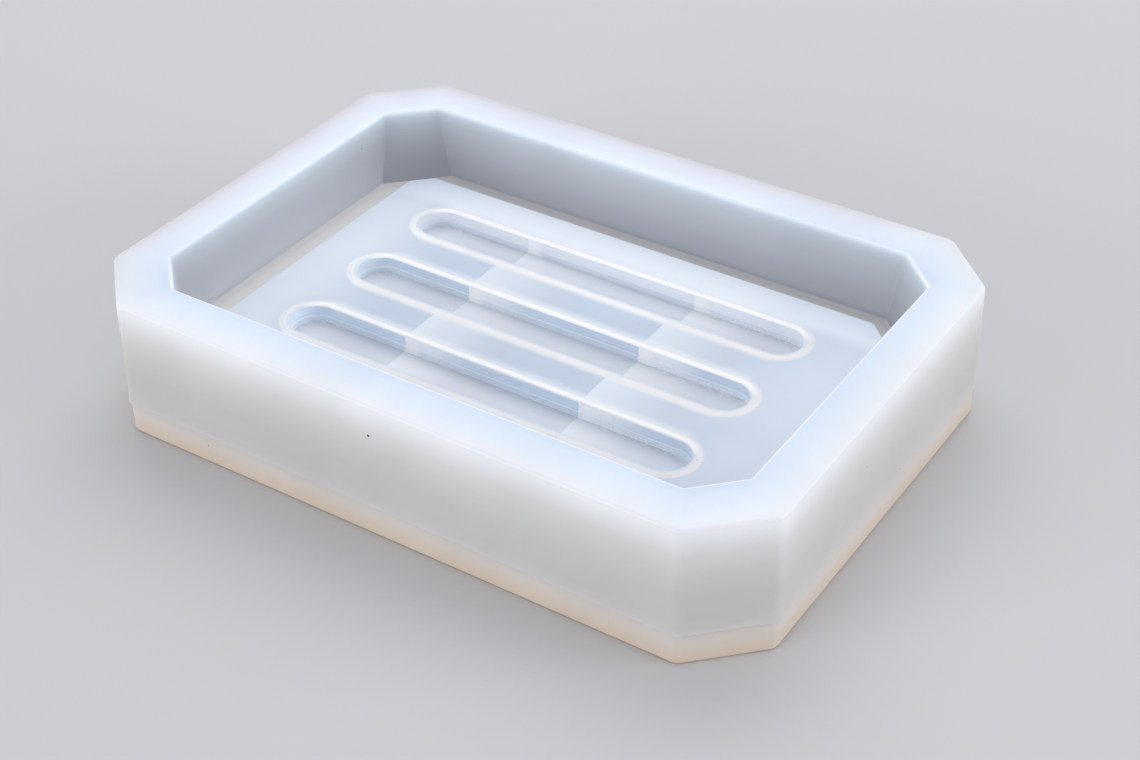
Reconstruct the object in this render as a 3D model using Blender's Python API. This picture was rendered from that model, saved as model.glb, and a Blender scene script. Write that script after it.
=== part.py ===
"""Silicone soap mould: a long octagonal block with a shallow tray in its top.

The tray casts a soap dish upside down. A plateau fills most of the tray's floor and leaves a
moat round it, which casts the dish's raised edge, and three round-ended grooves in the plateau
cast the ribs that the soap lies on. The block is cast in two pours: a thin base layer, and the
body on top of it, which overhangs the base layer slightly at the seam.

Metres, +Z up. The origin is on the underside, at the middle of the block. The block's length
runs along X and its width along Y.
"""

import math

import bmesh
import bpy

# Outer block, measured over the rim
RIM_LENGTH = 0.1500
RIM_WIDTH = 0.1072
HEIGHT = 0.0300
CORNER_CUT = 0.0126          # how far each cut corner runs along the ends and the sides
CORNER_RADIUS = 0.0025       # rounding of the upright corner edges
EDGE_RADIUS = 0.0008         # rounding along the rim's outer edge and round the foot

# Seam between the two pours
SEAM_HEIGHT = 0.0068         # underside of the body
POUR_GAP = 0.0003            # clearance between the two solids
WALL_FLARE = 0.0006          # how much further out each wall stands at the seam than at the rim
BAND_INSET = 0.0005          # how far the base layer is set in from the body's lower edge

# Tray
END_WALL = 0.0096
SIDE_WALL = 0.0103
TRAY_CORNER_CUT = 0.0084     # at the rim
TRAY_CORNER_DRAFT = 0.0030   # how much longer the cut is at the moat floor: these faces lean in
TRAY_CORNER_RADIUS = 0.0010
TRAY_EDGE_RADIUS = 0.0005    # rounding along the rim's inner edge

# Tray floor
FLOOR_HEIGHT = 0.0129        # moat floor above the underside
PLATEAU_RISE = 0.0033
PLATEAU_CORNER_CUT = 0.0042
PLATEAU_CORNER_RADIUS = 0.0020
PLATEAU_EDGE_RADIUS = 0.0004
MOAT_END = 0.0070            # width of the moat at the ends
MOAT_SIDE = 0.0061           # and along the sides

# Grooves in the plateau, each inside a low raised lip
GROOVE_COUNT = 3
GROOVE_DEPTH = 0.0033
END_LAND = 0.0106            # plateau left flat beyond the lips' ends
EDGE_LAND = 0.0086           # plateau left flat beside the outer lips
MIDDLE_LAND = 0.0082         # plateau left flat between two lips
LIP_WIDTH = 0.0019
LIP_RISE = 0.0002
LIP_SHOULDER = 0.0008        # how far in from its outer edge a lip reaches its full height
MOUTH_RADIUS = 0.0003        # rounding where a lip meets the groove's wall
GROOVE_DRAFT = 0.0001        # how much the walls lean in on the way down

# Fineness of the round stretches
CORNER_STEPS = 6
EDGE_STEPS = 4
GROOVE_END_STEPS = 28

# How far tools overshoot the faces that they cut through
OVERSHOOT = 0.0020

# Worked out from the sizes above
TRAY_LENGTH = RIM_LENGTH - 2 * END_WALL
TRAY_WIDTH = RIM_WIDTH - 2 * SIDE_WALL
PLATEAU_LENGTH = TRAY_LENGTH - 2 * MOAT_END
PLATEAU_WIDTH = TRAY_WIDTH - 2 * MOAT_SIDE
PLATEAU_TOP = FLOOR_HEIGHT + PLATEAU_RISE
GROOVE_LENGTH = PLATEAU_LENGTH - 2 * END_LAND
GROOVE_WIDTH = (
    PLATEAU_WIDTH - 2 * EDGE_LAND - (GROOVE_COUNT - 1) * MIDDLE_LAND
) / GROOVE_COUNT
GROOVE_PITCH = GROOVE_WIDTH + MIDDLE_LAND
CUT_GROWTH = 2 - math.sqrt(2)  # a cut corner's leg grows by this when the outline is offset by 1


def rounded_corner(before, corner, after, radius, steps):
    """Points of the arc that rounds one corner of an outline that runs anticlockwise."""
    to_before = math.atan2(before[1] - corner[1], before[0] - corner[0])
    to_after = math.atan2(after[1] - corner[1], after[0] - corner[0])
    opening = (to_before - to_after) % (2 * math.pi)
    reach = radius / math.sin(opening / 2)
    middle = to_after + opening / 2
    centre = (corner[0] + reach * math.cos(middle), corner[1] + reach * math.sin(middle))
    turn = math.pi - opening
    start = middle + math.pi - turn / 2
    angles = [start + turn * step / steps for step in range(steps + 1)]
    return [(centre[0] + radius * math.cos(a), centre[1] + radius * math.sin(a)) for a in angles]


def octagon(length, width, cut, radius, offset=0.0):
    """Outline of a rectangle with cut corners, moved outwards by offset, corners rounded."""
    x, y = length / 2 + offset, width / 2 + offset
    leg = cut + CUT_GROWTH * offset
    corners = [
        (x, -y + leg), (x, y - leg), (x - leg, y), (-x + leg, y),
        (-x, y - leg), (-x, -y + leg), (-x + leg, -y), (x - leg, -y),
    ]
    outline = []
    for i, corner in enumerate(corners):
        before, after = corners[i - 1], corners[(i + 1) % len(corners)]
        outline += rounded_corner(before, corner, after, radius, CORNER_STEPS)
    return outline


def slot(length, width, offset=0.0):
    """Outline of a round-ended slot that runs along X, moved outwards by offset."""
    radius = width / 2 + offset
    middle = (length - width) / 2
    outline = []
    for side in (1, -1):
        for step in range(GROOVE_END_STEPS + 1):
            angle = math.pi * (step / GROOVE_END_STEPS - side / 2)
            outline.append((side * middle + radius * math.cos(angle), radius * math.sin(angle)))
    return outline


def quarter_round(radius, steps):
    """(inset, rise) pairs that climb a convex quarter circle, from its wall to its top."""
    angles = [math.pi / 2 * step / steps for step in range(steps + 1)]
    return [(radius * (1 - math.cos(a)), radius * math.sin(a)) for a in angles]


def stack(name, levels, location=(0.0, 0.0, 0.0)):
    """A closed solid skinned over outlines, each given with its height, lowest first."""
    mesh = bmesh.new()
    rings = [[mesh.verts.new((x, y, z)) for x, y in outline] for z, outline in levels]
    for low, high in zip(rings, rings[1:]):
        for i in range(len(low)):
            j = (i + 1) % len(low)
            mesh.faces.new((low[i], low[j], high[j], high[i]))
    mesh.faces.new(reversed(rings[0]))
    mesh.faces.new(rings[-1])
    bmesh.ops.recalc_face_normals(mesh, faces=mesh.faces)
    data = bpy.data.meshes.new(name)
    mesh.to_mesh(data)
    mesh.free()
    piece = bpy.data.objects.new(name, data)
    piece.location = location
    bpy.context.scene.collection.objects.link(piece)
    return piece


def silicone(name, colour, roughness):
    """A plain silicone material."""
    material = bpy.data.materials.new(name)
    material.use_nodes = True
    shader = material.node_tree.nodes["Principled BSDF"]
    shader.inputs["Base Color"].default_value = (*colour, 1.0)
    shader.inputs["Roughness"].default_value = roughness
    shader.inputs["Metallic"].default_value = 0.0
    return material


def finish(piece, material):
    """Give a piece its material and smooth its round stretches."""
    piece.data.materials.append(material)
    piece.data.shade_smooth()
    piece.data.set_sharp_from_angle(angle=math.radians(25))


def use_tool(piece, tool, operation):
    """Cut a tool out of a piece, or join it on, and keep the tool out of the model."""
    modifier = piece.modifiers.new(f"{operation.lower()}_{tool.name}", "BOOLEAN")
    modifier.operation = operation
    modifier.solver = "EXACT"
    modifier.object = tool
    tool.hide_render = True
    tool.display_type = "WIRE"


def outer_block():
    """The body's outside: flared walls up from the seam, with a rounded rim edge."""
    size = (RIM_LENGTH, RIM_WIDTH, CORNER_CUT, CORNER_RADIUS)
    levels = [(SEAM_HEIGHT, octagon(*size, offset=WALL_FLARE))]
    for inset, rise in quarter_round(EDGE_RADIUS, EDGE_STEPS):
        levels.append((HEIGHT - EDGE_RADIUS + rise, octagon(*size, offset=-inset)))
    return stack("mould_body", levels)


def tray_tool():
    """The tray down to the moat floor, with leaning corner faces and a rounded mouth."""
    size = (TRAY_LENGTH, TRAY_WIDTH)
    floor_cut = TRAY_CORNER_CUT + TRAY_CORNER_DRAFT
    mouth = (*size, TRAY_CORNER_CUT, TRAY_CORNER_RADIUS)
    levels = [(FLOOR_HEIGHT, octagon(*size, floor_cut, TRAY_CORNER_RADIUS))]
    for spread, rise in quarter_round(TRAY_EDGE_RADIUS, EDGE_STEPS):
        levels.append((HEIGHT - TRAY_EDGE_RADIUS + rise, octagon(*mouth, offset=spread)))
    levels.append((HEIGHT + OVERSHOOT, octagon(*mouth, offset=TRAY_EDGE_RADIUS)))
    return stack("tray_tool", levels)


def plateau_block():
    """The raised floor inside the moat, rooted in the material under the moat."""
    size = (PLATEAU_LENGTH, PLATEAU_WIDTH, PLATEAU_CORNER_CUT, PLATEAU_CORNER_RADIUS)
    levels = [(FLOOR_HEIGHT - OVERSHOOT, octagon(*size))]
    for inset, rise in quarter_round(PLATEAU_EDGE_RADIUS, EDGE_STEPS):
        levels.append((PLATEAU_TOP - PLATEAU_EDGE_RADIUS + rise, octagon(*size, offset=-inset)))
    return stack("plateau_block", levels)


def groove_place(number):
    """Middle of one groove: they are spread evenly across the plateau, the rear one first."""
    return (0.0, GROOVE_PITCH * ((GROOVE_COUNT - 1) / 2 - number), 0.0)


def lip_block(number):
    """The low round-shouldered pad that one groove's lip is cut from, rooted in the plateau."""
    size = (GROOVE_LENGTH, GROOVE_WIDTH)
    levels = [(PLATEAU_TOP - PLATEAU_RISE / 2, slot(*size))]
    for inset, rise in quarter_round(1.0, EDGE_STEPS):
        outline = slot(*size, offset=-LIP_SHOULDER * inset)
        levels.append((PLATEAU_TOP + LIP_RISE * rise, outline))
    return stack(f"lip_block_{number}", levels, groove_place(number))


def groove_tool(number):
    """One groove: a drafted slot inside its lip, with a slightly rounded mouth."""
    size = (GROOVE_LENGTH - 2 * LIP_WIDTH, GROOVE_WIDTH - 2 * LIP_WIDTH)
    mouth = PLATEAU_TOP + LIP_RISE
    levels = [(PLATEAU_TOP - GROOVE_DEPTH, slot(*size, offset=-GROOVE_DRAFT))]
    for spread, rise in quarter_round(MOUTH_RADIUS, EDGE_STEPS):
        levels.append((mouth - MOUTH_RADIUS + rise, slot(*size, offset=spread)))
    levels.append((mouth + OVERSHOOT, slot(*size, offset=MOUTH_RADIUS)))
    return stack(f"groove_tool_{number}", levels, groove_place(number))


def make_mould_body(material):
    """Second pour: the walls, the tray floor, the plateau and its lipped grooves."""
    body = outer_block()
    use_tool(body, tray_tool(), "DIFFERENCE")
    use_tool(body, plateau_block(), "UNION")
    for number in range(GROOVE_COUNT):
        use_tool(body, lip_block(number), "UNION")
        use_tool(body, groove_tool(number), "DIFFERENCE")
    finish(body, material)
    return body


def make_base_layer(material):
    """First pour: the flat layer that the block stands on, set in under the body's lower edge."""
    size = (RIM_LENGTH, RIM_WIDTH, CORNER_CUT, CORNER_RADIUS)
    offset = WALL_FLARE - BAND_INSET
    levels = []
    for inset, rise in reversed(quarter_round(EDGE_RADIUS, EDGE_STEPS)):
        levels.append((EDGE_RADIUS - rise, octagon(*size, offset=offset - inset)))
    levels.append((SEAM_HEIGHT - POUR_GAP, octagon(*size, offset=offset)))
    base = stack("base_layer", levels)
    finish(base, material)
    return base


def main():
    for item in list(bpy.data.objects):
        bpy.data.objects.remove(item)
    make_base_layer(silicone("warm_silicone", (0.66, 0.60, 0.53), 0.38))
    make_mould_body(silicone("clear_silicone", (0.72, 0.78, 0.84), 0.34))


main()
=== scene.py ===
# %% [markdown]
# A silicone soap mould, open side up. It is a block of clear, slightly milky rubber with a tray
# sunk into its top, and it casts a soap dish upside down. The frame holds the block as two
# solids, the body and the layer under it, and the outer sizes below come from their boxes.

# %% The frame and its box
import math
from contextlib import contextmanager

import bmesh
import bpy
from mathutils import Matrix, Vector


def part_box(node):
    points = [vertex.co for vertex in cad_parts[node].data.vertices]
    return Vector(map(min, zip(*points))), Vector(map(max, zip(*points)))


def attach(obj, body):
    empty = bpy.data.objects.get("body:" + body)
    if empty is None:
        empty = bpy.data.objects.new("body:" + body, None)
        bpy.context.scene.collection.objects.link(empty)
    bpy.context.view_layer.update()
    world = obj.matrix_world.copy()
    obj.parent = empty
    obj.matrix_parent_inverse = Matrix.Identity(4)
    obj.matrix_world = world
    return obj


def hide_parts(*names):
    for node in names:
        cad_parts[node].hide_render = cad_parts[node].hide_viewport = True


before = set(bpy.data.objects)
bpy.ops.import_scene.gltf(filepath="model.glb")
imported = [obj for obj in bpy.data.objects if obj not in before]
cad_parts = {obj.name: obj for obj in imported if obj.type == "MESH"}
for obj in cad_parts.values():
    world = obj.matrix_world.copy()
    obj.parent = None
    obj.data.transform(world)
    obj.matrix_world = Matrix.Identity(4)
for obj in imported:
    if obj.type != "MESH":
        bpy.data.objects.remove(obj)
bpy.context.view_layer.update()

MM = 0.001
body_low, body_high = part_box("mould_body")
base_low, base_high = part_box("base_layer")
SEAM = body_low.z
RIM = body_high.z
print(f"body {SEAM / MM:.1f} to {RIM / MM:.1f} mm high, {2 * body_high.x / MM:.1f} mm long")

# %% [markdown]
# The sizes of the block. Its walls spread a little at the foot of the body, where the wet
# silicone crept out over the layer below, so the frame's box is widest there and the rim is
# smaller all round. A corner's cut is the leg that it takes off each side.

# %% Sizes of the block and its tray
FOOT_SPREAD = 0.6 * MM
RIM_LENGTH = 2 * (body_high.x - FOOT_SPREAD)
RIM_WIDTH = 2 * (body_high.y - FOOT_SPREAD)
CORNER_CUT = 12.6 * MM
CORNER_RADIUS = 2.5 * MM
END_WALL = 9.6 * MM
SIDE_WALL = 10.3 * MM
TRAY_LENGTH = RIM_LENGTH - 2 * END_WALL
TRAY_WIDTH = RIM_WIDTH - 2 * SIDE_WALL
TRAY_CUT = 8.4 * MM
TRAY_CUT_AT_FLOOR = 11.4 * MM
TRAY_RADIUS = 1.0 * MM
MOAT_FLOOR = 12.9 * MM
MOAT_END = 7.0 * MM
MOAT_SIDE = 6.1 * MM
PLATEAU = 16.2 * MM
PLATEAU_LENGTH = TRAY_LENGTH - 2 * MOAT_END
PLATEAU_WIDTH = TRAY_WIDTH - 2 * MOAT_SIDE
PLATEAU_CUT = 4.2 * MM
PLATEAU_RADIUS = 2.0 * MM
CUT_GROWTH = 2 - math.sqrt(2)   # a cut's leg grows by this when its outline moves out by 1
CORNER_STEPS = 6
SAME_PLACE = 0.01 * MM          # corners closer than this count as one place
print(f"tray {TRAY_LENGTH / MM:.1f} x {TRAY_WIDTH / MM:.1f} mm, {(RIM - PLATEAU) / MM:.1f} mm deep")

# %% [markdown]
# Every operator acts on all that is selected, so each step starts from nothing selected. These
# helpers open a piece for editing and select its parts by their place.

# %% Helpers for working by hand


def select_only(piece):
    bpy.ops.object.select_all(action="DESELECT")
    piece.select_set(True)
    bpy.context.view_layer.objects.active = piece


@contextmanager
def editing(piece):
    """Edit mode with nothing selected."""
    select_only(piece)
    bpy.ops.object.mode_set(mode="EDIT")
    bpy.ops.mesh.select_all(action="DESELECT")
    yield
    bpy.ops.object.mode_set(mode="OBJECT")


def pick(piece, kind, test):
    """Select only the verts, edges or faces that pass a test, and say how many there are."""
    bpy.ops.mesh.select_mode(type={"verts": "VERT", "edges": "EDGE", "faces": "FACE"}[kind])
    bpy.ops.mesh.select_all(action="DESELECT")
    mesh = bmesh.from_edit_mesh(piece.data)
    mesh.normal_update()
    chosen = [part for part in getattr(mesh, kind) if test(part)]
    for part in chosen:
        part.select_set(True)
    bmesh.update_edit_mesh(piece.data)
    return len(chosen)


def near(a, b):
    return abs(a - b) < SAME_PLACE


def is_upright(edge):
    run = edge.verts[1].co - edge.verts[0].co
    return abs(run.z) > 0.5 * run.length


def lies_at(height):
    """A test for parts that lie flat at one height."""
    def test(part):
        return all(near(vert.co.z, height) for vert in part.verts)
    return test


# %% [markdown]
# The block, the tray and the plateau are all rectangles with their corners cut off and then
# slightly rounded. Each starts as a cube at its size. One flat bevel cuts the four corners, and
# each of the eight new corners is moved to its exact place, so the foot of a wall can have a
# different cut from its top. A second bevel with several segments rounds them. A bevel that
# turns through 45 degrees sets back by the tangent of half of that, times the radius.

# %% A block with cut corners


def new_block(name, length, width, low, high):
    """A cube primitive at its size and place, with its object at the origin."""
    bpy.ops.object.select_all(action="DESELECT")
    middle = (low + high) / 2
    bpy.ops.mesh.primitive_cube_add(size=1, location=(0, 0, middle), scale=(length, width, high - low))
    piece = bpy.context.object
    piece.name = piece.data.name = name
    bpy.ops.object.transform_apply(location=True, rotation=True, scale=True)
    return piece


def place_corners(piece, height, length, width, cut):
    """Carry the eight corners at one height to those of an octagon."""
    x, y = length / 2, width / 2
    wanted = [(sx * a, sy * b) for sx in (1, -1) for sy in (1, -1)
              for a, b in ((x, y - cut), (x - cut, y))]
    pick(piece, "verts", lambda vert: near(vert.co.z, height))
    mesh = bmesh.from_edit_mesh(piece.data)
    places = [vert.co.copy() for vert in mesh.verts if vert.select]
    for here in places:
        spot = min(wanted, key=lambda corner: math.dist(corner, here.xy))
        pick(piece, "verts", lambda vert: (vert.co - here).length < SAME_PLACE / 10)
        bpy.ops.transform.translate(value=(spot[0] - here.x, spot[1] - here.y, 0))


def round_corners(piece, radius):
    pick(piece, "edges", is_upright)
    set_back = radius * math.tan(math.radians(45 / 2))
    bpy.ops.mesh.bevel(offset=set_back, segments=CORNER_STEPS, profile=0.5, affect="EDGES")


def cut_corner_block(name, length, width, cut, low, high):
    piece = new_block(name, length, width, low, high)
    with editing(piece):
        pick(piece, "edges", is_upright)
        bpy.ops.mesh.bevel(offset=cut, segments=1, affect="EDGES")
        for height in (low, high):
            place_corners(piece, height, length, width, cut)
    return piece


# %% [markdown]
# The body's outside is such a block from the seam to the rim. Near its foot the wall spreads
# over the layer below like a small skirt, so a bisect adds a ring of corners there and the
# lowest rings are moved out.

# %% The outside of the body
SKIRT_HEIGHT = 1.9 * MM
SKIRT_START = 0.3 * MM
body = cut_corner_block("silicone_body", RIM_LENGTH, RIM_WIDTH, CORNER_CUT, SEAM, RIM)
with editing(body):
    bpy.ops.mesh.select_all(action="SELECT")
    bpy.ops.mesh.bisect(plane_co=(0, 0, SEAM + SKIRT_HEIGHT), plane_no=(0, 0, 1))
    for height, spread in ((SEAM, FOOT_SPREAD), (SEAM + SKIRT_HEIGHT, SKIRT_START)):
        leg = CORNER_CUT + CUT_GROWTH * spread
        place_corners(body, height, RIM_LENGTH + 2 * spread, RIM_WIDTH + 2 * spread, leg)
    round_corners(body, CORNER_RADIUS)
print("faces outside:", len(body.data.polygons))

# %% [markdown]
# The tray is the same kind of block, with corners that lean in on the way down, and the plateau
# in its middle is a third. The tray is hollow, so its faces are flipped to look inwards. They
# become one skin: their ends are deleted where the skin passes on, the three are joined, and
# two bridges lay the rim and the floor of the moat between them.

# %% Rim, tray, moat and plateau
tray = cut_corner_block("tray", TRAY_LENGTH, TRAY_WIDTH, TRAY_CUT, MOAT_FLOOR, RIM)
plateau = cut_corner_block("plateau", PLATEAU_LENGTH, PLATEAU_WIDTH, PLATEAU_CUT, MOAT_FLOOR, PLATEAU)
with editing(tray):
    place_corners(tray, MOAT_FLOOR, TRAY_LENGTH, TRAY_WIDTH, TRAY_CUT_AT_FLOOR)
    round_corners(tray, TRAY_RADIUS)
    bpy.ops.mesh.select_all(action="SELECT")
    bpy.ops.mesh.flip_normals()
with editing(plateau):
    round_corners(plateau, PLATEAU_RADIUS)

for piece, heights in ((body, (RIM,)), (tray, (MOAT_FLOOR, RIM)), (plateau, (MOAT_FLOOR,))):
    with editing(piece):
        pick(piece, "faces", lambda face: any(lies_at(height)(face) for height in heights))
        bpy.ops.mesh.delete(type="ONLY_FACE")

bpy.ops.object.select_all(action="DESELECT")
for piece in (tray, plateau, body):
    piece.select_set(True)
bpy.context.view_layer.objects.active = body
bpy.ops.object.join()
with editing(body):
    for height in (RIM, MOAT_FLOOR):
        print("edges to bridge:", pick(body, "edges", lies_at(height)))
        bpy.ops.mesh.bridge_edge_loops()
    bpy.ops.mesh.select_all(action="SELECT")
    bpy.ops.mesh.normals_make_consistent(inside=False)

# %% [markdown]
# Cast rubber has no knife edges. The rim is softened outside and inside, the plateau's edge is
# crisp, and the feet of the walls have small fillets. A ring is found by its height and by
# whether the wall that meets it faces out from the middle or in towards it.

# %% Soft edges
OUTER_EDGE = 0.8 * MM
INNER_EDGE = 0.6 * MM
PLATEAU_EDGE = 0.4 * MM
FOOT_FILLET = 0.7 * MM
SEAM_EDGE = 0.25 * MM


def ring(height, outward):
    flat = lies_at(height)

    def test(edge):
        walls = [face for face in edge.link_faces if abs(face.normal.z) < 0.9]
        out = [face.normal.xy.dot(face.calc_center_median().xy) > 0 for face in walls]
        return flat(edge) and outward in out
    return test


def soften(piece, test, radius, steps):
    count = pick(piece, "edges", test)
    bpy.ops.mesh.bevel(offset=radius, segments=steps, profile=0.5, affect="EDGES")
    return count


with editing(body):
    rings = [
        soften(body, ring(RIM, True), OUTER_EDGE, 6),
        soften(body, ring(RIM, False), INNER_EDGE, 5),
        soften(body, ring(MOAT_FLOOR, False), FOOT_FILLET, 4),
        soften(body, ring(MOAT_FLOOR, True), PLATEAU_EDGE, 3),
        soften(body, ring(PLATEAU, True), PLATEAU_EDGE, 4),
        soften(body, ring(SEAM, True), SEAM_EDGE, 3),
    ]
print("edges in each softened ring:", rings)

# %% [markdown]
# The dish's three ribs leave grooves in the plateau, each inside a low lip. Two tools are
# modelled once: a pad that becomes the lip, and a rib that cuts the groove. Both are blocks
# whose uprights are bevelled until their ends are half round, and both widen or narrow on the
# way up. The rib has a tiny step near its foot, which leaves a fine line along the wall.

# %% The lip's pad and the rib
GROOVE_LENGTH = 92.0 * MM
GROOVE_WIDTH = 10.0 * MM
GROOVE_PITCH = 21.8 * MM
LIP_WIDTH = 1.9 * MM
LIP_RISE = 0.22 * MM
LIP_SHAPE = ((0.12, 0.2), (0.5, 0.5), (0.88, 0.8), (1.0, 1.1))   # share of the rise, mm inwards
TOOL_OVERLAP = 1.0 * MM         # how far a tool passes the surface that it joins or cuts
MOUTH_RADIUS = 0.3 * MM
DRAFT = 0.16 * MM
STEP_HEIGHT = 1.0 * MM
STEP_WIDTH = 0.1 * MM
FLOOR_EDGE = 0.25 * MM
END_STEPS = 20
end_centre = (GROOVE_LENGTH - GROOVE_WIDTH) / 2
foot_radius = GROOVE_WIDTH / 2 - DRAFT
lip_radius = GROOVE_WIDTH / 2 + LIP_WIDTH


def round_ended_block(name, radius, low, high):
    piece = new_block(name, 2 * (end_centre + radius), 2 * radius, low, high)
    with editing(piece):
        pick(piece, "edges", is_upright)
        bpy.ops.mesh.bevel(offset=radius, segments=END_STEPS, profile=0.5, affect="EDGES")
        bpy.ops.mesh.select_all(action="SELECT")
        bpy.ops.mesh.remove_doubles(threshold=SAME_PLACE / 10)
    return piece


def grow(piece, low, high, radius, new_radius):
    """Extrude a block upwards, and scale each round end of its new top about its own centre."""
    pick(piece, "faces", lies_at(low))
    bpy.ops.mesh.extrude_region_move(TRANSFORM_OT_translate={"value": (0, 0, high - low)})
    scale = new_radius / radius
    for side in (-1, 1):
        pick(piece, "verts", lambda vert: near(vert.co.z, high) and vert.co.x * side > 0)
        centre = (side * end_centre, 0, high)
        bpy.ops.transform.resize(value=(scale, scale, 1), center_override=centre)


pad = round_ended_block("lip_pad", lip_radius, PLATEAU - TOOL_OVERLAP, PLATEAU)
with editing(pad):
    level, radius = PLATEAU, lip_radius
    for rise, inset in LIP_SHAPE:
        new_level, new_radius = PLATEAU + LIP_RISE * rise, lip_radius - inset * MM
        grow(pad, level, new_level, radius, new_radius)
        level, radius = new_level, new_radius

step_low = MOAT_FLOOR + STEP_HEIGHT
step_high = step_low + STEP_WIDTH
rib = round_ended_block("rib", foot_radius, MOAT_FLOOR, step_low)
with editing(rib):
    soften(rib, lies_at(MOAT_FLOOR), FLOOR_EDGE, 3)
    grow(rib, step_low, step_high, foot_radius, foot_radius + STEP_WIDTH)
    grow(rib, step_high, PLATEAU + TOOL_OVERLAP, foot_radius + STEP_WIDTH, GROOVE_WIDTH / 2)
print("pad faces:", len(pad.data.polygons), "rib faces:", len(rib.data.polygons))

# %% [markdown]
# Each groove takes a copy of both tools. A Boolean joins the pad's copy onto the plateau, and a
# second one cuts the rib's copy out of it. The tools go when all three are done, and one bevel
# rounds the mouths. A mouth's edge is at the lip's top with a groove wall on one side of it.

# %% Three lips and three grooves


def use_copy(tool, shift, operation):
    """Join a copy of a tool onto the body, or cut it out."""
    select_only(tool)
    bpy.ops.object.duplicate()
    copy = bpy.context.object
    copy.location.y = shift
    bpy.ops.object.transform_apply(location=True, rotation=True, scale=True)
    select_only(body)
    change = body.modifiers.new(operation, "BOOLEAN")
    change.operation = operation
    change.solver = "EXACT"
    change.object = copy
    bpy.ops.object.modifier_apply(modifier=change.name)
    bpy.data.objects.remove(copy)


for shift in (-GROOVE_PITCH, 0, GROOVE_PITCH):
    use_copy(pad, shift, "UNION")
    use_copy(rib, shift, "DIFFERENCE")
bpy.data.objects.remove(pad)
bpy.data.objects.remove(rib)


def is_mouth(edge):
    walls = [face for face in edge.link_faces if abs(face.normal.z) < 0.9]
    return lies_at(PLATEAU + LIP_RISE)(edge) and len(walls) == 1


with editing(body):
    print("mouth edges:", soften(body, is_mouth, MOUTH_RADIUS, 4))

# %% [markdown]
# The layer under the body was poured first and has shrunk a little, so it stands back from the
# body's foot all round. It is one more block with cut corners, soft at the bottom and with a
# small edge at the seam.

# %% The layer under the seam
BOTTOM_EDGE = 0.8 * MM
SEAM_GAP = 0.02 * MM            # so thin that the two pieces seem to touch
past_rim = base_high.x - RIM_LENGTH / 2
base_cut = CORNER_CUT + CUT_GROWTH * past_rim
seam_top = SEAM - SEAM_GAP
base = cut_corner_block("silicone_base", 2 * base_high.x, 2 * base_high.y, base_cut, 0, seam_top)
with editing(base):
    round_corners(base, CORNER_RADIUS)
    soften(base, ring(0, True), BOTTOM_EDGE, 6)
    soften(base, ring(seam_top, True), SEAM_EDGE, 3)
print(f"the layer stands {past_rim / MM:.2f} mm outside the rim's outline")

# %% [markdown]
# Smooth shading would bend the light across the big flat faces, because a corner's normal is
# an average. Weighted normals let the large faces win, so the flats stay flat and only the
# narrow bevels turn.

# %% Shading of the two pieces
for piece in (body, base):
    select_only(piece)
    bpy.ops.object.shade_smooth_by_angle(angle=math.radians(40))
    weighted = piece.modifiers.new("Weighted normals", "WEIGHTED_NORMAL")
    weighted.keep_sharp = True
    bpy.ops.object.modifier_apply(modifier=weighted.name)
    print(piece.name, "faces:", len(piece.data.polygons))

# %% [markdown]
# Milky silicone has no single colour. Thin edges glow bluish white, thick parts are greyer, and
# light that has come a long way through turns warm; these glows and shades are painted into the
# colours. Each region of the mould therefore gets its own finish, and what they share is kept in
# node groups. First, a few helpers that wire nodes: a value can be a number or another node's output.

# %% Helpers for wiring materials


def feed(tree, value, socket):
    if isinstance(value, bpy.types.NodeSocket):
        tree.links.new(value, socket)
    else:
        socket.default_value = value


def maths(tree, operation, *values):
    node = tree.nodes.new("ShaderNodeMath")
    node.operation = operation
    for value, socket in zip(values, node.inputs):
        feed(tree, value, socket)
    return node.outputs[0]


def fade(tree, value, start, end, low=0.0, high=1.0):
    """0 to 1, or low to high, as a value goes from start to end, with soft ends."""
    node = tree.nodes.new("ShaderNodeMapRange")
    node.interpolation_type = "SMOOTHSTEP"
    for label, part in (("Value", value), ("From Min", start), ("From Max", end),
                        ("To Min", low), ("To Max", high)):
        feed(tree, part, node.inputs[label])
    return node.outputs["Result"]


def blend(tree, amount, first, second, kind="MIX"):
    node = tree.nodes.new("ShaderNodeMix")
    node.data_type = "RGBA"
    node.blend_type = kind
    feed(tree, amount, node.inputs["Factor"])
    colours = [socket for socket in node.inputs if socket.type == "RGBA"]
    feed(tree, first, colours[0])
    feed(tree, second, colours[1])
    return [socket for socket in node.outputs if socket.type == "RGBA"][0]


def shade(red, green, blue):
    """A colour from 0 to 255 display values, as the linear values that Blender mixes."""
    def linear(value):
        value = value / 255
        return value / 12.92 if value <= 0.04045 else ((value + 0.055) / 1.055) ** 2.4
    return (linear(red), linear(green), linear(blue), 1)


# %% [markdown]
# A node group is a tree of its own with named sockets on its edge. These helpers make one, place
# it in a material, and read a place on the object, in millimetres so that sizes stay readable.

# %% Helpers for groups and places


def new_group(name, inputs, outputs):
    tree = bpy.data.node_groups.new(name, "ShaderNodeTree")
    for label, value in inputs:
        socket = tree.interface.new_socket(label, in_out="INPUT", socket_type="NodeSocketFloat")
        socket.default_value = value
    for label, kind in outputs:
        tree.interface.new_socket(label, in_out="OUTPUT", socket_type="NodeSocket" + kind)
    return tree, tree.nodes.new("NodeGroupInput").outputs, tree.nodes.new("NodeGroupOutput").inputs


def place_group(tree, group, **values):
    node = tree.nodes.new("ShaderNodeGroup")
    node.node_tree = group
    for label, value in values.items():
        feed(tree, value, node.inputs[label])
    return node.outputs


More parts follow.
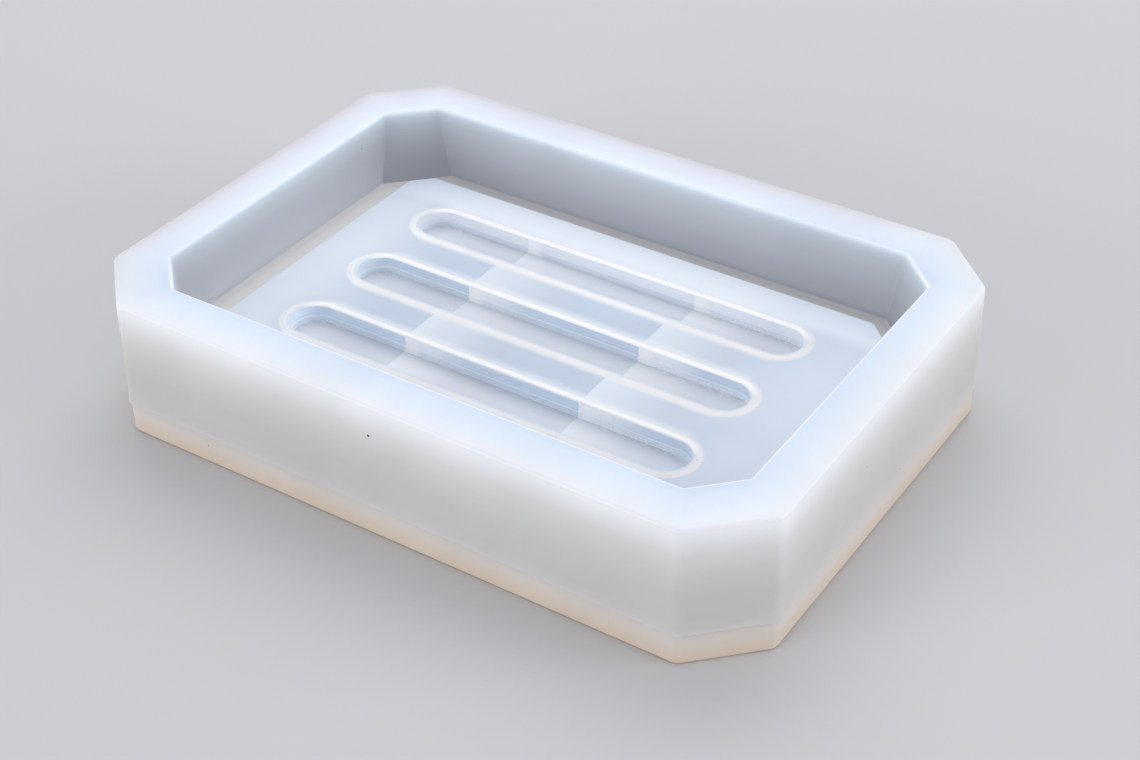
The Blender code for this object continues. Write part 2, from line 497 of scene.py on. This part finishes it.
def millimetres(tree):
    """The object's own coordinates in millimetres: the whole place, and its x, y and z."""
    place = tree.nodes.new("ShaderNodeTexCoord").outputs["Object"]
    scale = tree.nodes.new("ShaderNodeVectorMath")
    scale.operation = "SCALE"
    scale.inputs["Scale"].default_value = 1 / MM
    tree.links.new(place, scale.inputs[0])
    split = tree.nodes.new("ShaderNodeSeparateXYZ")
    tree.links.new(scale.outputs[0], split.inputs[0])
    return scale.outputs[0], split.outputs


def noise(tree, place, size, detail=2.0, roughness=0.5):
    """Noise whose features are about so many millimetres across."""
    node = tree.nodes.new("ShaderNodeTexNoise")
    node.inputs["Scale"].default_value = 1 / size
    node.inputs["Detail"].default_value = detail
    node.inputs["Roughness"].default_value = roughness
    tree.links.new(place, node.inputs["Vector"])
    return node.outputs["Fac"]


# %% [markdown]
# The skin that every part shares: broad milky clouds, a satin surface with a fine tooth, and
# the odd speck of dust. It puts out a value for the clouds, a mask for the dust, a roughness
# and a normal.

# %% Node group: silicone skin
CLOUD_SIZE = 26.0
DUST_SPACING = 7.0
DUST_SIZE = 0.020               # a speck's radius as a share of the spacing
BUMP_HEIGHT = 0.06 * MM
skin, given, result = new_group(
    "silicone_skin",
    [("Satin", 0.34), ("Tooth", 0.12), ("Dust", 1.0)],
    [("Clouds", "Float"), ("Specks", "Float"), ("Roughness", "Float"), ("Normal", "Vector")],
)
place, _ = millimetres(skin)
feed(skin, noise(skin, place, CLOUD_SIZE, 3.0), result["Clouds"])
cells = skin.nodes.new("ShaderNodeTexVoronoi")
cells.inputs["Scale"].default_value = 1 / DUST_SPACING
cells.inputs["Randomness"].default_value = 1.0
skin.links.new(place, cells.inputs["Vector"])
chance = skin.nodes.new("ShaderNodeSeparateColor")
skin.links.new(cells.outputs["Color"], chance.inputs[0])
dot = maths(skin, "LESS_THAN", cells.outputs["Distance"], DUST_SIZE)
rare = maths(skin, "GREATER_THAN", chance.outputs[0], 0.62)
dust = maths(skin, "MULTIPLY", maths(skin, "MULTIPLY", dot, rare), given["Dust"])
feed(skin, dust, result["Specks"])
tooth = noise(skin, place, 0.35, 3.0, 0.6)
waves = noise(skin, place, 9.0, 2.0)
smear = noise(skin, place, 5.0, 4.0, 0.6)
smeared = maths(skin, "ADD", given["Satin"], fade(skin, smear, 0.3, 0.7, -0.02, 0.03))
feed(skin, smeared, result["Roughness"])
height = maths(skin, "ADD", maths(skin, "MULTIPLY", tooth, given["Tooth"]),
               maths(skin, "MULTIPLY", waves, 0.5))
bump = skin.nodes.new("ShaderNodeBump")
bump.inputs["Strength"].default_value = 0.35
bump.inputs["Distance"].default_value = BUMP_HEIGHT
skin.links.new(height, bump.inputs["Height"])
feed(skin, bump.outputs["Normal"], result["Normal"])
print("skin group nodes:", len(skin.nodes))

# %% [markdown]
# How far a point lies inside an octagon's outline, in millimetres. The rim reads its bands of
# painted light and shade from it, and the floor of the moat its painted shade along the foot of
# the wall.

# %% Node group: distance inside an octagon
octagon, given, result = new_group(
    "octagon_distance",
    [("Half length", 75.0), ("Half width", 53.6), ("Cut", 12.6)],
    [("Inside", "Float")],
)
_, (x, y, _) = millimetres(octagon)
from_end = maths(octagon, "SUBTRACT", given["Half length"], maths(octagon, "ABSOLUTE", x))
from_side = maths(octagon, "SUBTRACT", given["Half width"], maths(octagon, "ABSOLUTE", y))
corner = maths(octagon, "SUBTRACT", maths(octagon, "ADD", from_end, from_side), given["Cut"])
from_corner = maths(octagon, "MULTIPLY", corner, math.sqrt(0.5))
inside = maths(octagon, "MINIMUM", maths(octagon, "MINIMUM", from_end, from_side), from_corner)
feed(octagon, inside, result["Inside"])
print("octagon group nodes:", len(octagon.nodes))

# %% [markdown]
# The plateau and its grooves show three fields side by side. Each starts pale at a sharp line
# across the mould and deepens to the right. The first few millimetres after a line are the
# palest. This group puts out how far a point is into its field, and a mask for that pale strip.

# %% Node group: fields across the plateau
FIELD_STARTS = (-58.4, -22.0, 18.9)
STRIP = 2.8
fields, _, result = new_group("plateau_fields", [], [("Run", "Float"), ("Strip", "Float")])
_, (x, _, _) = millimetres(fields)
run = maths(fields, "SUBTRACT", x, FIELD_STARTS[0])
for before, start in zip(FIELD_STARTS, FIELD_STARTS[1:]):
    passed = maths(fields, "GREATER_THAN", x, start)
    run = maths(fields, "SUBTRACT", run, maths(fields, "MULTIPLY", passed, start - before))
feed(fields, run, result["Run"])
feed(fields, maths(fields, "LESS_THAN", run, STRIP), result["Strip"])
print("the fields start at", FIELD_STARTS, "mm")

# %% [markdown]
# The three grooves are alike, so one group folds them onto each other. It puts out the distance
# from the nearest groove's centre line, the direction across it from -1 in front to 1 behind,
# and the groove's number from -1 to 1.

# %% Node group: place in a groove
grooves, _, result = new_group(
    "place_in_groove", [], [("Distance", "Float"), ("Across", "Float"), ("Number", "Float")]
)
_, (x, y, _) = millimetres(grooves)
pitch = GROOVE_PITCH / MM
nearest = maths(grooves, "ROUND", maths(grooves, "DIVIDE", y, pitch))
number = maths(grooves, "MINIMUM", maths(grooves, "MAXIMUM", nearest, -1.0), 1.0)
side = maths(grooves, "SUBTRACT", y, maths(grooves, "MULTIPLY", number, pitch))
past_end = maths(grooves, "SUBTRACT", maths(grooves, "ABSOLUTE", x), end_centre / MM)
past_end = maths(grooves, "MAXIMUM", past_end, 0.0)
squares = maths(grooves, "ADD", maths(grooves, "MULTIPLY", side, side),
                maths(grooves, "MULTIPLY", past_end, past_end))
distance = maths(grooves, "SQRT", squares)
feed(grooves, distance, result["Distance"])
across = maths(grooves, "DIVIDE", side, maths(grooves, "MAXIMUM", distance, 0.01))
feed(grooves, across, result["Across"])
feed(grooves, number, result["Number"])
print("groove group nodes:", len(grooves.nodes))

# %% [markdown]
# Every finish ends in the same shader: satin rubber that lets some light sink in and come out
# nearby. Constant values sit on the shader's own sockets. The clouds and the dust are mixed
# over each region's own colour. Where light seeps out, a weak emission stands for it.

# %% The silicone shader
DEPTH_OF_LIGHT = 2.2 * MM
CLOUDINESS = 0.05
DUST_COLOUR = shade(92, 88, 84)


def combined(tree, value):
    """The same value in all three channels of a colour."""
    node = tree.nodes.new("ShaderNodeCombineColor")
    for socket in node.inputs:
        feed(tree, value, socket)
    return node.outputs[0]


def silicone(name, satin=0.34, glow=0.35):
    """A new finish: its tree, and a function that sets its colour and finishes the wiring."""
    material = bpy.data.materials.new(name)
    material.use_nodes = True
    tree = material.node_tree
    shader = tree.nodes["Principled BSDF"]
    shader.inputs["Subsurface Weight"].default_value = glow
    shader.inputs["Subsurface Radius"].default_value = (1.0, 0.85, 0.75)
    shader.inputs["Subsurface Scale"].default_value = DEPTH_OF_LIGHT
    shader.inputs["IOR"].default_value = 1.41
    shader.inputs["Specular IOR Level"].default_value = 0.5
    surface = place_group(tree, skin, Satin=satin)
    feed(tree, surface["Roughness"], shader.inputs["Roughness"])
    feed(tree, surface["Normal"], shader.inputs["Normal"])

    def colour_with(colour, seeping=None):
        if seeping is not None:
            shader.inputs["Emission Strength"].default_value = 1.0
            feed(tree, seeping, shader.inputs["Emission Color"])
        amount = fade(tree, surface["Clouds"], 0.35, 0.65, 1 - CLOUDINESS, 1.0)
        clouded = blend(tree, 1.0, colour, combined(tree, amount), "MULTIPLY")
        dusty = blend(tree, surface["Specks"], clouded, DUST_COLOUR)
        feed(tree, dusty, shader.inputs["Base Color"])
        print(name, "nodes:", len(tree.nodes))
        return material
    return tree, colour_with


# %% [markdown]
# The outside walls glow near the rim, where light from the top comes out again, and are an
# even light grey below. The body's foot is a little paler along the seam. One dark speck of
# dust sits high on the front wall. A colour ramp holds the tones from the foot to the rim, each
# at its height, and the other finishes use the same helper.

# %% Finish: outside walls
SPECK_PLACE = (-2.15, -53.75, 23.3)
SPECK_RADIUS = 0.28


def tone_scale(tree, value, start, end, tones):
    """Colours along a value: tones holds (place, colour) with places from start to end."""
    node = tree.nodes.new("ShaderNodeValToRGB")
    span = tree.nodes.new("ShaderNodeMapRange")
    for label, part in (("Value", value), ("From Min", start), ("From Max", end)):
        feed(tree, part, span.inputs[label])
    tree.links.new(span.outputs["Result"], node.inputs["Fac"])
    stops = node.color_ramp.elements
    while len(stops) < len(tones):
        stops.new(0.5)
    for stop, (spot, _) in zip(stops, tones):
        stop.position = (spot - start) / (end - start)
    for stop, (_, colour) in zip(stops, tones):
        stop.color = colour
    return node.outputs["Color"]


tree, colour_with = silicone("outside_walls", glow=0.5)
place, (_, _, z) = millimetres(tree)
wall = tone_scale(tree, z, 6.5, 30.0, [
    (6.5, shade(209, 206, 204)), (8.2, shade(206, 203, 201)), (10.0, shade(202, 200, 198)),
    (15.0, shade(201, 200, 197)), (20.0, shade(209, 209, 206)), (24.0, shade(221, 221, 220)),
    (27.0, shade(235, 236, 240)), (28.8, shade(241, 243, 246)), (29.4, shade(238, 240, 244)),
    (30.0, shade(235, 238, 243)),
])
from_speck = tree.nodes.new("ShaderNodeVectorMath")
from_speck.operation = "DISTANCE"
from_speck.inputs[1].default_value = SPECK_PLACE
tree.links.new(place, from_speck.inputs[0])
speck = maths(tree, "LESS_THAN", from_speck.outputs["Value"], SPECK_RADIUS)
wall = blend(tree, speck, wall, shade(70, 66, 64))
outside_walls = colour_with(wall)

# %% [markdown]
# The layer under the seam is painted warm: a faint peach that stands for light that has come a
# long way through the silicone, and that deepens towards the edge it stands on.

# %% Finish: the warm layer
tree, colour_with = silicone("warm_layer")
_, (_, _, z) = millimetres(tree)
# Painted light: the peach stands for light that has come through the silicone.
warm_tone = tone_scale(tree, z, 0.0, 6.8, [
    (0.0, shade(217, 199, 180)), (2.0, shade(218, 203, 187)), (4.5, shade(218, 208, 201)),
    (6.8, shade(212, 207, 202)),
])
warm_layer = colour_with(warm_tone)

# %% [markdown]
# The rim is the brightest part, and each of its four bands has a gradient across it, painted light
# and shade from how the light falls on each side. In front and on the right it is white outside,
# a painted highlight on the rounding, and bluer beside the tray. Behind and on the left it is
# brightest beside the tray and has a faint pink painted shade along the outside.

# %% Finish: rim


def towards_the_camera(tree, x, y, half_length, half_width):
    """Above 0 in front and on the right of a rectangle's centre, below 0 behind and on the left."""
    to_the_right = maths(tree, "DIVIDE", x, half_length)
    return maths(tree, "SUBTRACT", to_the_right, maths(tree, "DIVIDE", y, half_width))


tree, colour_with = silicone("rim_top", satin=0.36, glow=0.5)
_, (x, y, _) = millimetres(tree)
outer = place_group(tree, octagon, **{
    "Half length": RIM_LENGTH / 2 / MM, "Half width": RIM_WIDTH / 2 / MM, "Cut": CORNER_CUT / MM})
# Painted light and shade: each side of the rim gets its own bands, from how the light falls on it.
near_bands = tone_scale(tree, outer["Inside"], 0.0, 10.4, [
    (0.0, shade(235, 237, 243)), (0.9, shade(236, 238, 244)), (2.2, shade(235, 240, 247)),
    (4.5, shade(230, 239, 250)), (8.0, shade(222, 234, 249)), (9.4, shade(214, 228, 245)),
    (10.4, shade(212, 225, 242)),
])
far_bands = tone_scale(tree, outer["Inside"], 0.0, 10.4, [
    (0.0, shade(208, 202, 210)), (1.2, shade(218, 215, 222)), (2.6, shade(226, 226, 236)),
    (5.0, shade(230, 234, 246)), (8.0, shade(233, 240, 251)), (10.4, shade(236, 245, 254)),
])
nearness = towards_the_camera(tree, x, y, RIM_LENGTH / 2 / MM, RIM_WIDTH / 2 / MM)
rim_tone = blend(tree, fade(tree, nearness, -0.8, 0.3), far_bands, near_bands)
rim_top = colour_with(rim_tone)

# %% [markdown]
# Inside the tray the walls fall away from pale blue under the rim to slate grey at the foot, a
# painted shade. The corner walls get the darkest painted shade, and the end walls are painted
# lighter. A wall's direction comes from its normal. Near the foot a little light seeps through
# from outside, which a weak emission stands for. The edge of the rim in front and on the right
# shows as a thin painted highlight.

# %% Finish: tray walls
tree, colour_with = silicone("tray_walls", satin=0.38, glow=0.15)
_, (x, y, z) = millimetres(tree)
facing = tree.nodes.new("ShaderNodeSeparateXYZ")
tree.links.new(tree.nodes.new("ShaderNodeTexCoord").outputs["Normal"], facing.inputs[0])
facing_x = maths(tree, "ABSOLUTE", facing.outputs["X"])
facing_y = maths(tree, "ABSOLUTE", facing.outputs["Y"])
tray_tone = tone_scale(tree, z, 12.9, 30.0, [
    (12.9, shade(164, 168, 176)), (15.0, shade(169, 173, 182)), (19.0, shade(177, 180, 187)),
    (24.0, shade(188, 192, 197)), (27.0, shade(194, 200, 207)), (28.2, shade(202, 210, 218)),
    (28.8, shade(208, 217, 226)), (29.3, shade(220, 230, 239)), (30.0, shade(234, 244, 252)),
])
# Painted shade: darker low down and on the corner walls, and the end walls painted lighter.
low_down = fade(tree, z, 27.0, 16.0)
on_corners = fade(tree, maths(tree, "MINIMUM", facing_x, facing_y), 0.3, 0.6)
corner_shade = maths(tree, "MULTIPLY", on_corners, low_down)
end_wall = maths(tree, "MULTIPLY", fade(tree, facing_x, 0.80, 0.95), low_down)
tray_tone = blend(tree, maths(tree, "MULTIPLY", corner_shade, 0.22), tray_tone, shade(132, 131, 134))
tray_tone = blend(tree, maths(tree, "MULTIPLY", end_wall, 0.75), tray_tone, shade(182, 185, 192))
seeping = tone_scale(tree, z, 12.9, 24.0, [
    (12.9, (0.062, 0.066, 0.073, 1)), (16.0, (0.042, 0.044, 0.048, 1)), (24.0, (0, 0, 0, 1)),
])
more = combined(tree, fade(tree, facing_x, 0.80, 0.95, 1.0, 1.6))
nearness = towards_the_camera(tree, x, y, TRAY_LENGTH / 2 / MM, TRAY_WIDTH / 2 / MM)
# A painted highlight along the rim's inner edge in front and on the right.
edge_highlight = maths(tree, "MULTIPLY", fade(tree, nearness, -0.1, 0.3), fade(tree, z, 29.5, 29.8))
tray_tone = blend(tree, edge_highlight, tray_tone, shade(252, 253, 255))
tray_walls = colour_with(tray_tone, blend(tree, 1.0, seeping, more, "MULTIPLY"))

# %% [markdown]
# The floor of the moat is a dull beige grey, with a painted shade along the wall's foot. Light
# from outside reaches it through the silicone, most of all at the ends, and so it has a faint glow.

# %% Finish: moat
tree, colour_with = silicone("moat_floor", satin=0.42)
edge = place_group(tree, octagon, **{
    "Half length": TRAY_LENGTH / 2 / MM, "Half width": TRAY_WIDTH / 2 / MM, "Cut": TRAY_CUT_AT_FLOOR / MM})
# Painted shade along the wall's foot.
moat_tone = tone_scale(tree, edge["Inside"], 0.0, 7.0, [
    (0.0, shade(168, 167, 170)), (1.5, shade(190, 186, 184)), (5.0, shade(200, 198, 197)),
    (7.0, shade(208, 212, 218)),
])
_, (x, _, _) = millimetres(tree)
at_ends = fade(tree, maths(tree, "ABSOLUTE", x), 52.0, 61.0)
seeping = blend(tree, at_ends, (0.150, 0.148, 0.155, 1), (0.265, 0.260, 0.262, 1))
moat_floor = colour_with(moat_tone, seeping)

# %% [markdown]
# The plateau is pale blue, and it shows the three fields. Painted light makes it palest towards
# its ends and beyond the last groove. The lips of the grooves catch the light, painted into their
# colour as highlights: cool white behind, where the crest is brightest and a soft painted halo
# spreads on the plateau, and creamy in front and at the right-hand ends. A faint emission stands
# for the light that seeps in from the right and the back, and along those crests.

# %% Finish: plateau


def blend_values(tree, amount, first, second):
    """A number between two others."""
    node = tree.nodes.new("ShaderNodeMix")
    node.data_type = "FLOAT"
    for label, part in (("Factor", amount), ("A", first), ("B", second)):
        feed(tree, part, node.inputs[label])
    return node.outputs["Result"]


tree, colour_with = silicone("plateau_top", satin=0.33)
_, (x, y, _) = millimetres(tree)
field = place_group(tree, fields)
groove = place_group(tree, grooves)
from_groove = groove["Distance"]
deepening = tone_scale(tree, field["Run"], 0.0, 24.0, [
    (0.0, shade(230, 238, 247)), (4.0, shade(226, 233, 243)), (9.0, shade(219, 228, 239)),
    (16.0, shade(206, 216, 231)), (24.0, shade(201, 214, 231)),
])
# Painted light: paler beyond the last groove and towards the ends.
beyond = fade(tree, y, 26.0, 31.0)
land = blend(tree, maths(tree, "MULTIPLY", beyond, 0.95), deepening, shade(245, 251, 255))
towards_ends = fade(tree, maths(tree, "ABSOLUTE", x), 28.0, 58.0)
land = blend(tree, maths(tree, "MULTIPLY", towards_ends, 0.6), land, shade(232, 240, 250))
# Painted highlights on the lips, with a painted halo around them.
behind = fade(tree, groove["Across"], 0.3, 0.9)
round_end = end_centre / MM
to_the_left = fade(tree, x, -round_end + 1.0, -round_end - 2.0)
cool = maths(tree, "MAXIMUM", behind, to_the_left)
lip_highlight = blend(tree, cool, shade(246, 244, 245), shade(253, 254, 255))
halo = fade(tree, from_groove, 9.0, 6.4, 0.0, 0.6)
broad = maths(tree, "ADD", halo, fade(tree, from_groove, 6.8, 5.8, 0.0, 0.4))
ring = maths(tree, "MULTIPLY", fade(tree, from_groove, 8.3, 6.5), fade(tree, from_groove, 5.2, 6.3, 0.05))
band = blend_values(tree, behind, ring, broad)
around_end = fade(tree, maths(tree, "ABSOLUTE", x), round_end, round_end + 4.0)
narrow = fade(tree, from_groove, 7.4, 6.7)
band = maths(tree, "MULTIPLY", band, blend_values(tree, around_end, 1.0, narrow))
in_strip = maths(tree, "SUBTRACT", 1.0, maths(tree, "MULTIPLY", field["Strip"], 0.2))
inner_lip = maths(tree, "MULTIPLY", fade(tree, from_groove, 6.7, 6.0), 0.85)
land = blend(tree, inner_lip, land, shade(220, 227, 237))
plateau_tone = blend(tree, maths(tree, "MULTIPLY", band, in_strip), land, lip_highlight)
at_back = maths(tree, "MULTIPLY", beyond, 0.8)
at_right = fade(tree, x, 18.0, 50.0)
crest = maths(tree, "MULTIPLY", behind, fade(tree, from_groove, 6.9, 6.1))
seeping = blend(tree, at_back, (0.0, 0.0, 0.0, 1), (0.012, 0.025, 0.070, 1))
seeping = blend(tree, at_right, seeping, (0.030, 0.026, 0.030, 1), "ADD")
seeping = blend(tree, crest, seeping, (0.060, 0.045, 0.040, 1), "ADD")
plateau_top = colour_with(plateau_tone, seeping)

# %% [markdown]
# The far walls of the grooves are the deepest blue on the mould. The last groove's are shallow
# in colour, close to the plateau. The strip after each line is almost white here. The lowest
# millimetre is greyer, under the fine step, which has a painted highlight along it as a pale line,
# with a few painted glints below it. Light seeps out of the front groove's walls most.

# %% Finish: groove walls
STEP_LINE = step_high / MM


def stretch(tree, place, factors):
    """A place with each axis scaled by its own factor, so that a noise on it is drawn out."""
    node = tree.nodes.new("ShaderNodeVectorMath")
    node.operation = "MULTIPLY"
    node.inputs[1].default_value = factors
    tree.links.new(place, node.inputs[0])
    return node.outputs[0]


tree, colour_with = silicone("groove_walls", satin=0.3)
field = place_group(tree, fields)
groove = place_group(tree, grooves)
place, (x, _, z) = millimetres(tree)
deep = tone_scale(tree, field["Run"], 2.4, 15.0, [
    (2.4, shade(238, 243, 249)), (6.5, shade(237, 242, 248)), (9.5, shade(226, 234, 243)),
    (15.0, shade(200, 217, 236)),
])
last = fade(tree, groove["Number"], 0.4, 0.6)
deep = blend(tree, last, deep, shade(236, 240, 248))
low_on_wall = fade(tree, z, STEP_LINE + 0.25, STEP_LINE)
deep = blend(tree, maths(tree, "MULTIPLY", low_on_wall, 0.6), deep, shade(214, 224, 236))
along_wall = stretch(tree, place, (0.03, 0.03, 2.2))
streaks = fade(tree, noise(tree, along_wall, 0.9, 2.0), 0.42, 0.62)
deep = blend(tree, maths(tree, "MULTIPLY", streaks, 0.35), deep, shade(226, 236, 247))
# A painted highlight along the step, and painted glints below it.
from_line = maths(tree, "ABSOLUTE", maths(tree, "SUBTRACT", z, STEP_LINE + 0.05))
line = fade(tree, from_line, 0.2, 0.08)
deep = blend(tree, maths(tree, "MULTIPLY", line, 0.6), deep, shade(238, 244, 251))
under_line = fade(tree, z, STEP_LINE - 0.15, STEP_LINE - 0.4)
glint_place = maths(tree, "MULTIPLY", fade(tree, x, 20.0, 23.0), under_line)
glints = maths(tree, "MULTIPLY", fade(tree, noise(tree, place, 0.3, 2.0), 0.42, 0.56), glint_place)
deep = blend(tree, maths(tree, "MULTIPLY", glints, 0.5), deep, shade(252, 253, 255))
strip_edge = fade(tree, field["Run"], STRIP + 1.4, STRIP - 0.9)
walls = blend(tree, maths(tree, "MULTIPLY", strip_edge, 0.9), deep, shade(248, 250, 252))
seeping = tone_scale(tree, groove["Number"], -1.0, 1.0, [
    (-1.0, (0.112, 0.118, 0.120, 1)), (0.0, (0.062, 0.058, 0.052, 1)),
    (1.0, (0.030, 0.030, 0.030, 1)),
])
groove_walls = colour_with(walls, seeping)

# %% [markdown]
# The floors of the grooves are a lavender grey with the same fields, fainter, and a painted shade
# along the foot of the wall. Fine marks, taken over from the model that the mould was cast on, run
# along the far side: broken lines of darker specks and of painted glints, drawn out along the
# groove and strongest at both ends.

# %% Finish: groove floors
tree, colour_with = silicone("groove_floors", satin=0.3)
field = place_group(tree, fields)
groove = place_group(tree, grooves)
place, (x, _, _) = millimetres(tree)
floor_tone = tone_scale(tree, field["Run"], 0.0, 24.0, [
    (0.0, shade(233, 238, 245)), (5.0, shade(230, 233, 240)), (13.0, shade(222, 225, 233)),
    (24.0, shade(217, 222, 231)),
])
# Painted shade along the foot of the wall.
foot_shade = fade(tree, groove["Distance"], 3.2, 4.6)
floor_tone = blend(tree, maths(tree, "MULTIPLY", foot_shade, 0.3), floor_tone, shade(206, 216, 228))
marks = noise(tree, stretch(tree, place, (0.35, 1.6, 1.0)), 0.55, 3.0, 0.65)
far_side = fade(tree, groove["Across"], 0.0, 0.5)
near_wall = maths(tree, "MULTIPLY", fade(tree, groove["Distance"], 3.5, 4.2), far_side)
right_end = fade(tree, x, 20.0, 26.0)
left_end = fade(tree, x, -33.0, -38.0)
strength = maths(tree, "ADD", maths(tree, "ADD", right_end, left_end), 0.15)
marked = maths(tree, "MULTIPLY", near_wall, strength)
# The bright marks are painted glints.
glinting_marks = maths(tree, "MULTIPLY", fade(tree, marks, 0.52, 0.60), marked)
dark_marks = maths(tree, "MULTIPLY", fade(tree, marks, 0.44, 0.38), marked)
floor_tone = blend(tree, maths(tree, "MULTIPLY", glinting_marks, 0.55), floor_tone, shade(253, 254, 255))
floor_tone = blend(tree, maths(tree, "MULTIPLY", dark_marks, 0.2), floor_tone, shade(180, 192, 210))
groove_floors = colour_with(floor_tone)

# %% [markdown]
# Each face gets its finish by its place on the block. The faces of the tray are inside its
# outline, and those of a groove are inside its lip.

# %% Finishes onto faces
body_finishes = (outside_walls, rim_top, tray_walls, moat_floor, plateau_top, groove_walls, groove_floors)
names = [finish.name for finish in body_finishes]


def inside_octagon(spot, length, width, cut):
    from_end, from_side = length / 2 - abs(spot.x), width / 2 - abs(spot.y)
    return min(from_end, from_side, (from_end + from_side - cut) * math.sqrt(0.5))


def finish_for(spot, normal):
    if inside_octagon(spot, TRAY_LENGTH, TRAY_WIDTH, TRAY_CUT) > -INNER_EDGE - SAME_PLACE:
        if inside_octagon(spot, PLATEAU_LENGTH, PLATEAU_WIDTH, PLATEAU_CUT) < 0.0:
            if spot.z < MOAT_FLOOR + FOOT_FILLET:
                return "moat_floor"
            return "tray_walls" if spot.z > PLATEAU or normal.xy.dot(spot.xy) < 0 else "plateau_top"
        if spot.z > PLATEAU - MOUTH_RADIUS:
            return "plateau_top"
        groove = round(spot.y / GROOVE_PITCH) * GROOVE_PITCH
        past_end = max(abs(spot.x) - end_centre, 0)
        across = math.hypot(past_end, spot.y - groove)
        floor_radius = foot_radius - FLOOR_EDGE
        return "groove_floors" if across < floor_radius + SAME_PLACE else "groove_walls"
    return "rim_top" if normal.z > 0.6 else "outside_walls"


body.data.materials.clear()
for finish in body_finishes:
    body.data.materials.append(finish)
for face in body.data.polygons:
    face.material_index = names.index(finish_for(face.center, face.normal))
base.data.materials.clear()
base.data.materials.append(warm_layer)
for index, name in enumerate(names):
    print(name, sum(face.material_index == index for face in body.data.polygons), "faces")

# %% [markdown]
# The mould lies on a plain pale floor. It is a hair below the mould's foot, so that the two
# faces don't flicker through each other.

# %% Floor
FLOOR_SIZE = 4.0
FLOOR_DROP = 0.02 * MM
bpy.ops.object.select_all(action="DESELECT")
bpy.ops.mesh.primitive_plane_add(size=FLOOR_SIZE, location=(0, 0, -FLOOR_DROP))
floor = bpy.context.object
floor.name = "studio_floor"
floor_paint = bpy.data.materials.new("studio_floor_paint")
floor_paint.use_nodes = True
floor_shader = floor_paint.node_tree.nodes["Principled BSDF"]
floor_shader.inputs["Base Color"].default_value = (0.60, 0.60, 0.61, 1)
floor_shader.inputs["Roughness"].default_value = 0.7
floor.data.materials.append(floor_paint)
print(floor.name, FLOOR_SIZE, "m wide")

# %% [markdown]
# The camera looks down on the near right-hand corner. Its turn is built from three directions:
# the one that it looks back along, the one to its right and the one above it, the last two
# rolled a little.

# %% Camera
FOCAL_LENGTH = 63.99
CAMERA_PLACE = Vector((187.81, -275.31, 243.20)) * MM
AZIMUTH = math.radians(33.456)
ELEVATION = math.radians(35.690)
ROLL = math.radians(-0.611)
back = Vector((math.sin(AZIMUTH) * math.cos(ELEVATION),
               -math.cos(AZIMUTH) * math.cos(ELEVATION),
               math.sin(ELEVATION)))
right = Vector((math.cos(AZIMUTH), math.sin(AZIMUTH), 0))
up = back.cross(right)
rolled_right = right * math.cos(ROLL) + up * math.sin(ROLL)
rolled_up = up * math.cos(ROLL) - right * math.sin(ROLL)
turn = Matrix((rolled_right, rolled_up, back)).transposed()
camera_data = bpy.data.cameras.new("camera")
camera_data.lens = FOCAL_LENGTH
camera_data.sensor_width = 36
camera = bpy.data.objects.new("camera", camera_data)
camera.matrix_world = Matrix.Translation(CAMERA_PLACE) @ turn.to_4x4()
bpy.context.scene.collection.objects.link(camera)
bpy.context.scene.camera = camera
print(f"camera {CAMERA_PLACE.length:.2f} m from the mould's centre")

# %% [markdown]
# The light is soft, as for a small product: a wide panel overhead, one for each long and short
# side that shows, and an even pale surround.

# %% Lights
AIM = (0, 0, 0.01)


def soft_light(name, place, size, power):
    data = bpy.data.lights.new(name, "AREA")
    data.shape = "RECTANGLE"
    data.size, data.size_y = size
    data.energy = power
    light = bpy.data.objects.new(name, data)
    light.location = place
    direction = Vector(AIM) - Vector(place)
    light.rotation_euler = direction.to_track_quat("-Z", "Y").to_euler()
    bpy.context.scene.collection.objects.link(light)
    print(name, "light:", power, "W")


soft_light("overhead", (-0.25, 0.45, 0.80), (0.9, 0.7), 3.0)
soft_light("front", (-0.49, -1.15, 0.34), (0.9, 0.6), 6.4)
soft_light("right", (1.17, 0.43, 0.34), (0.9, 0.6), 6.8)
surround = bpy.data.worlds.new("studio_surround")
surround.use_nodes = True
background = surround.node_tree.nodes["Background"]
background.inputs["Color"].default_value = (0.92, 0.945, 1.0, 1)
background.inputs["Strength"].default_value = 0.64
bpy.context.scene.world = surround
bpy.context.scene.view_settings.view_transform = "Standard"

# %% [markdown]
# Last, each piece takes the place of its solid in the frame. Both ride on the one body that the
# mould has.

# %% Hand over to the frame
PIECES = ((body, "mould_body", "clear_silicone"), (base, "base_layer", "warm_silicone"))
for piece, node, slot in PIECES:
    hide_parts(node)
    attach(piece, "root")
